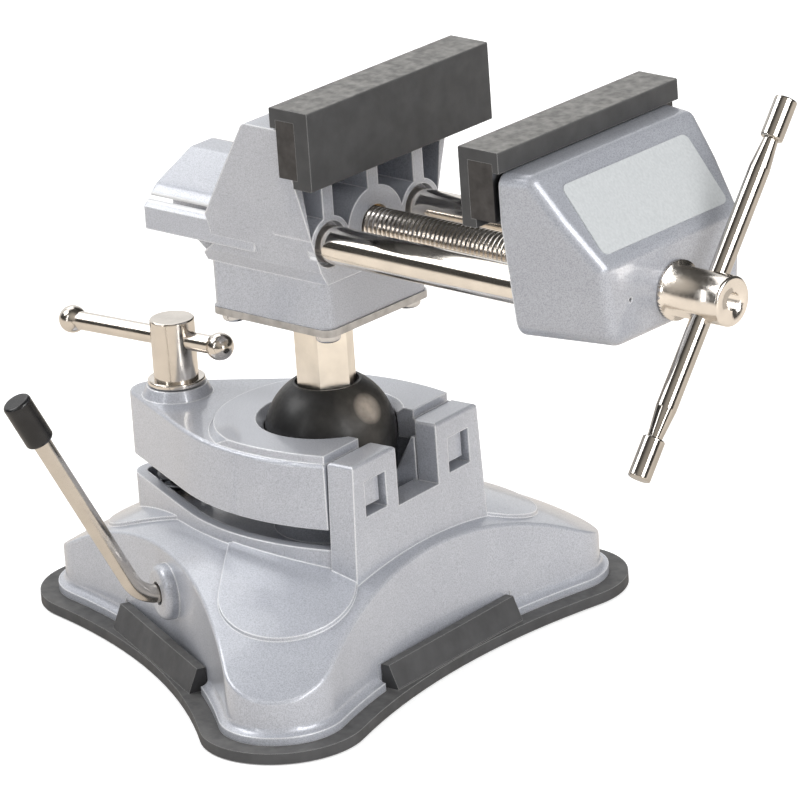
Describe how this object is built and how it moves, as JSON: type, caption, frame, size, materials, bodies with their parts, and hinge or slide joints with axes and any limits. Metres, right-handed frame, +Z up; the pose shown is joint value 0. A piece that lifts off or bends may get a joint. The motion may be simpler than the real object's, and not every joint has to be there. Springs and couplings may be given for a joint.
{
  "type": "suction base vise",
  "caption": "Small bench vise with rubber-covered jaws on guide rods, a clamped ball joint and a three-lobed suction base with a lever.",
  "frame": {"origin": "on the bench under the centre of the ball, in the underside of the suction pad", "axes": "+Z up, +X along the jaw's travel towards the sliding handle, +Y along the jaws"},
  "size_m": [0.2381, 0.1597, 0.1636],
  "materials": {
    "silver_paint": "semi-gloss silver-grey enamel with a fine metallic fleck over a die casting",
    "pad_rubber": "matt moulded dark grey rubber",
    "cover_rubber": "matt grained dark rubber, a little dusty on top",
    "steel": "zinc-plated steel, satin",
    "nickel": "bright nickel plate with fine turning marks",
    "blackened_steel": "blackened steel, polished by use",
    "bronze": "machined bronze",
    "black_vinyl": "dipped soft vinyl",
    "label_metal": "satin aluminium foil plate, blank"
  },
  "bodies": {
    "base": {"base_casting": "silver_paint", "suction_pad": "pad_rubber", "clamp_spring": "steel"},
    "stud": {"pad_stud": "steel"},
    "lever": {"suction_lever": "nickel", "lift_cam": "steel", "lever_clip": "steel", "lever_cap": "black_vinyl"},
    "lid": {"clamp_plate": "silver_paint"},
    "washer": {"clamp_washer": "nickel"},
    "clamp_handle": {"clamp_screw": "nickel"},
    "clamp_crossbar": {"clamp_bar": "nickel", "clamp_bar_knobs": "nickel"},
    "ball_joint": {"ball": "blackened_steel"},
    "head": {"hex_post": "nickel", "post_nut": "steel", "bottom_plate": "steel", "plate_screws": "nickel", "fixed_jaw": "silver_paint", "screw_nut": "bronze", "fixed_jaw_plate": "steel", "fixed_plate_screws": "steel", "fixed_jaw_cover": "cover_rubber"},
    "sliding_jaw": {"moving_jaw": "silver_paint", "guide_rods": "nickel", "moving_jaw_plate": "steel", "moving_plate_screws": "steel", "moving_jaw_cover": "cover_rubber", "label_plate": "label_metal", "thrust_washer": "bronze"},
    "screw_turn": {"lead_screw": "nickel", "screw_clip": "steel"},
    "handle": {"tbar_rod": "nickel", "tbar_caps": "nickel"}
  },
  "joints": [
    {"name": "ball_tilt", "type": "hinge", "parent": "base", "child": "ball_joint", "pos_m": [0, 0, 0.0589], "axis": [-0.0804, 0.9968, 0], "range_deg": [-15, 90]},
    {"name": "head_spin", "type": "hinge", "parent": "ball_joint", "child": "head", "pos_m": [0, 0, 0.0589], "axis": [0, 0, 1], "continuous": true},
    {"name": "jaw_slide", "type": "slide", "parent": "head", "child": "sliding_jaw", "axis": [1, 0, 0], "range_m": [-0.05, 0.0175]},
    {"name": "lead_screw_turn", "type": "hinge", "parent": "sliding_jaw", "child": "screw_turn", "pos_m": [0.12, 0, 0.12], "axis": [1, 0, 0], "range_deg": [-12001, 4201]},
    {"name": "tbar_slide", "type": "slide", "parent": "screw_turn", "child": "handle", "axis": [0, 0.6293, 0.7771], "range_m": [-0.036, 0.0315]},
    {"name": "clamp_washer_slide", "type": "slide", "parent": "base", "child": "washer", "axis": [0, 0, 1], "range_m": [0, 0.00187], "deforming": ["clamp_spring"]},
    {"name": "clamp_screw_turn", "type": "hinge", "parent": "washer", "child": "clamp_handle", "pos_m": [-0.05093, -0.00411, 0.0774], "axis": [0, 0, 1], "range_deg": [-1, 541]},
    {"name": "clamp_bar_slide", "type": "slide", "parent": "clamp_handle", "child": "clamp_crossbar", "axis": [0.9968, 0.0804, 0], "range_m": [-0.006, 0.018]},
    {"name": "clamp_plate_tilt", "type": "hinge", "parent": "base", "child": "lid", "pos_m": [0.02362, 0.0019, 0.057], "axis": [-0.0804, 0.9968, 0], "range_deg": [-0.01, 1.31]},
    {"name": "suction_lever_turn", "type": "hinge", "parent": "base", "child": "lever", "pos_m": [-0.00947, -0.00076, 0.0213], "axis": [-0.4288, -0.9034, 0], "range_deg": [-1, 91]},
    {"name": "pad_lift", "type": "slide", "parent": "base", "child": "stud", "axis": [0, 0, 1], "range_m": [0, 0.002]}
  ],
  "couplings": [
    {"joint": "lead_screw_turn", "follows": "jaw_slide", "rad_per_m": 4188.8},
    {"joint": "clamp_screw_turn", "follows": "clamp_washer_slide", "rad_per_m": 5026.5},
    {"joint": "clamp_plate_tilt", "follows": "clamp_washer_slide", "rad_per_m": 12.114},
    {"joint": "suction_lever_turn", "follows": "pad_lift", "rad_per_m": 785.4}
  ]
}
